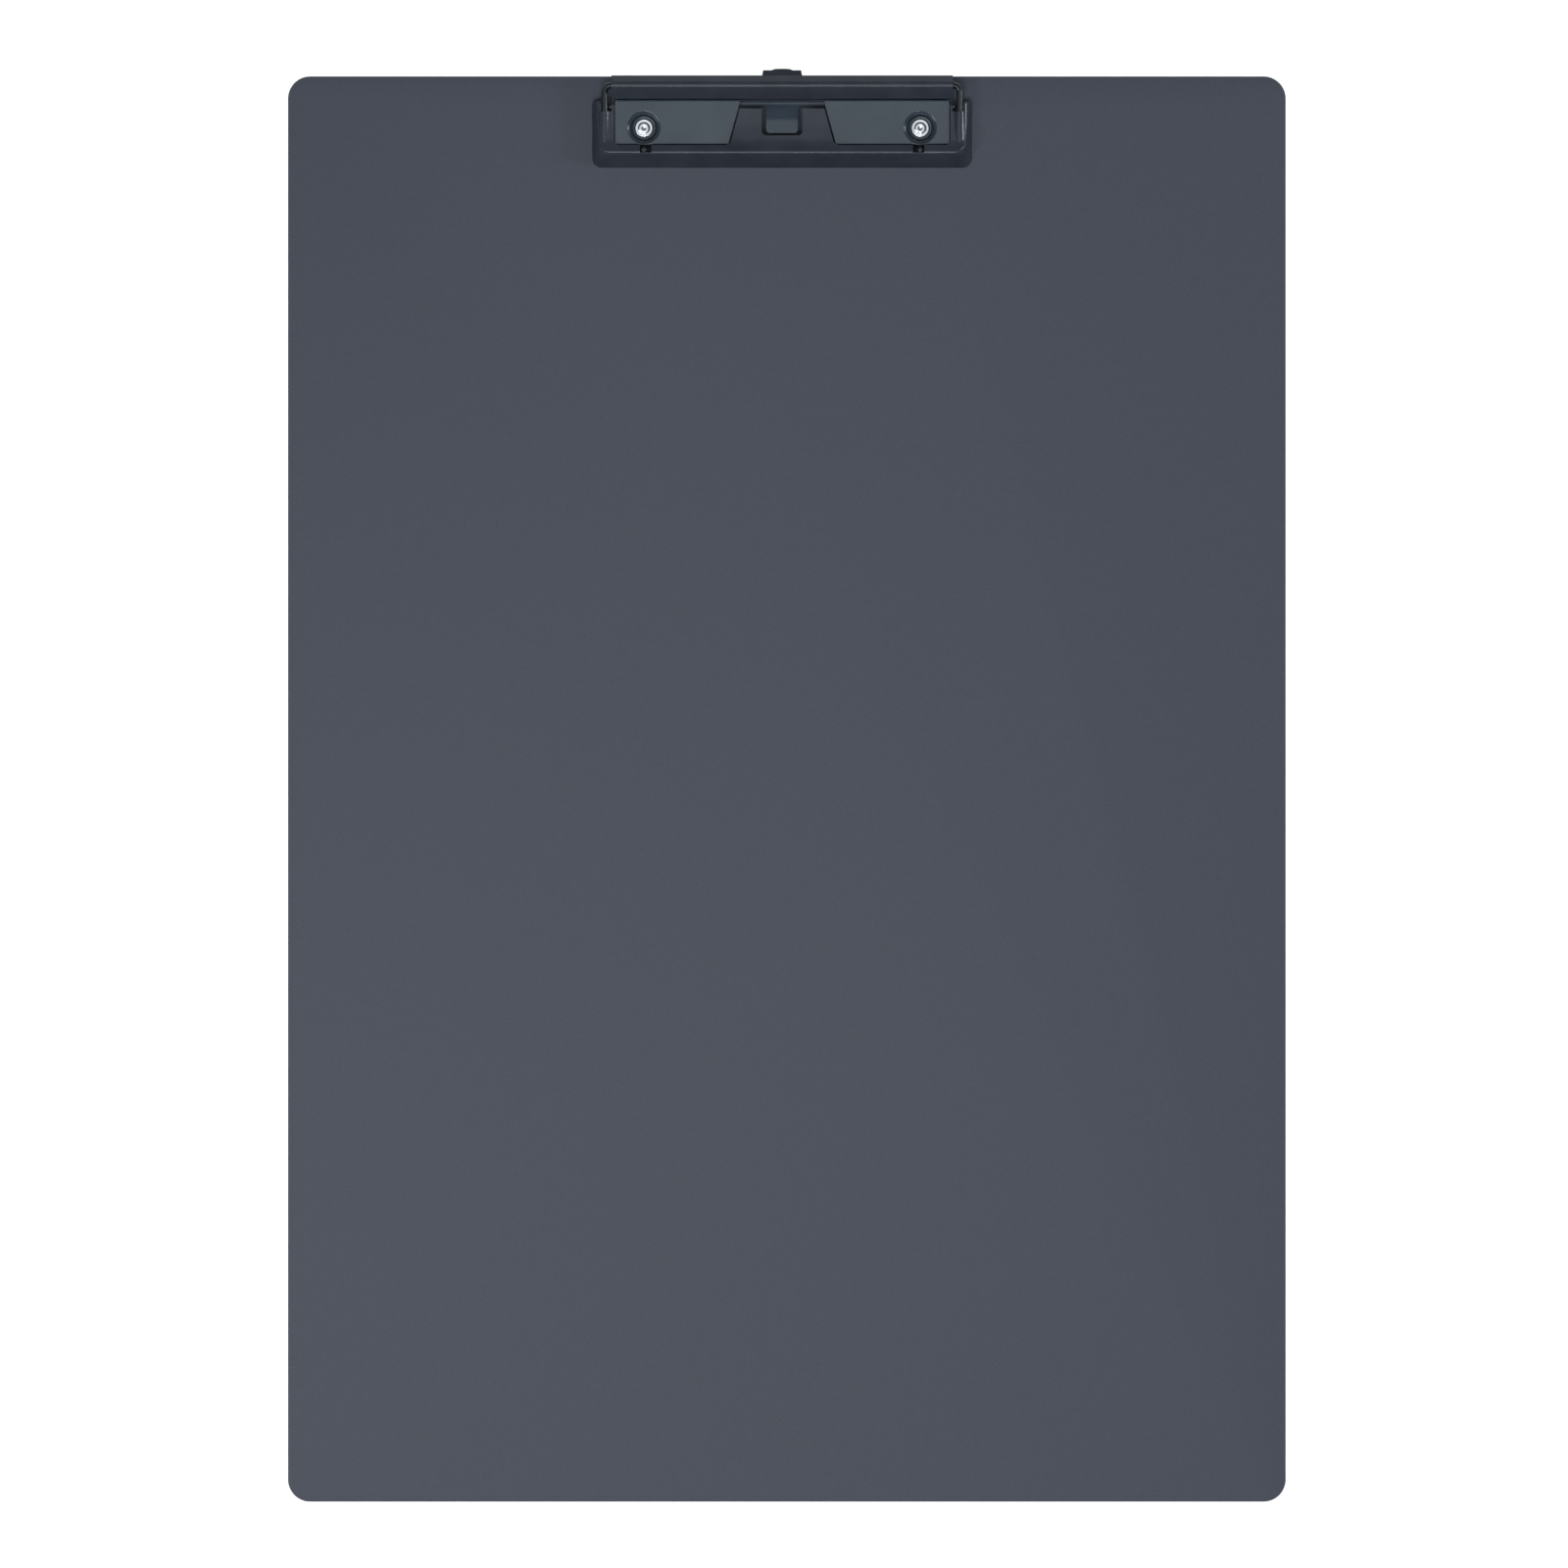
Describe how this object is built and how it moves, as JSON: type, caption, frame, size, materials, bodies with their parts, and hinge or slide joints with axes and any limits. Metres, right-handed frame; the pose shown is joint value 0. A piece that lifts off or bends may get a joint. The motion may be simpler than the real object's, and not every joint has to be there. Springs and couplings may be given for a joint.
{
  "type": "clipboard",
  "caption": "Large flat clipboard: film-covered board with a riveted sprung clip whose finger lever lifts a full-width jaw.",
  "frame": {"origin": "centre of the board's back face", "axes": "+Z out of the front face, +Y towards the clip end, +X to the right when the sheet is read"},
  "size_m": [0.315, 0.4522, 0.0113],
  "materials": {
    "board": "raw hardboard",
    "film": "matte fine-grained film",
    "clip_paint": "gloss",
    "deck_paint": "satin",
    "spring_wire": "gloss",
    "rivet_metal": "bright plated"
  },
  "bodies": {
    "root": {"board_core": "board", "front_cover": "film", "back_cover": "film", "base_plate": "deck_paint", "left_rivet": "rivet_metal", "right_rivet": "rivet_metal", "left_jaw_pin": "rivet_metal", "right_jaw_pin": "rivet_metal"},
    "lever_body": {"lever": "clip_paint"},
    "jaw_body": {"jaw_plate": "clip_paint", "left_spring": "spring_wire", "right_spring": "spring_wire"}
  },
  "joints": [
    {"name": "lever_lift", "type": "hinge", "parent": "root", "child": "lever_body", "pos_m": [-0.0015, 0.2219, 0.0078], "axis": [1, 0, 0], "range_deg": [0, 40], "stiffness_Nm_per_rad": 0.06, "springref_deg": -14.32},
    {"name": "jaw_open", "type": "hinge", "parent": "root", "child": "jaw_body", "pos_m": [-0.0015, 0.2154, 0.0052], "axis": [-1, 0, 0], "range_deg": [0, 20], "deforming": ["left_spring", "right_spring"]}
  ],
  "couplings": [
    {"joint": "jaw_open", "follows": "lever_lift", "ratio": 0.5}
  ]
}
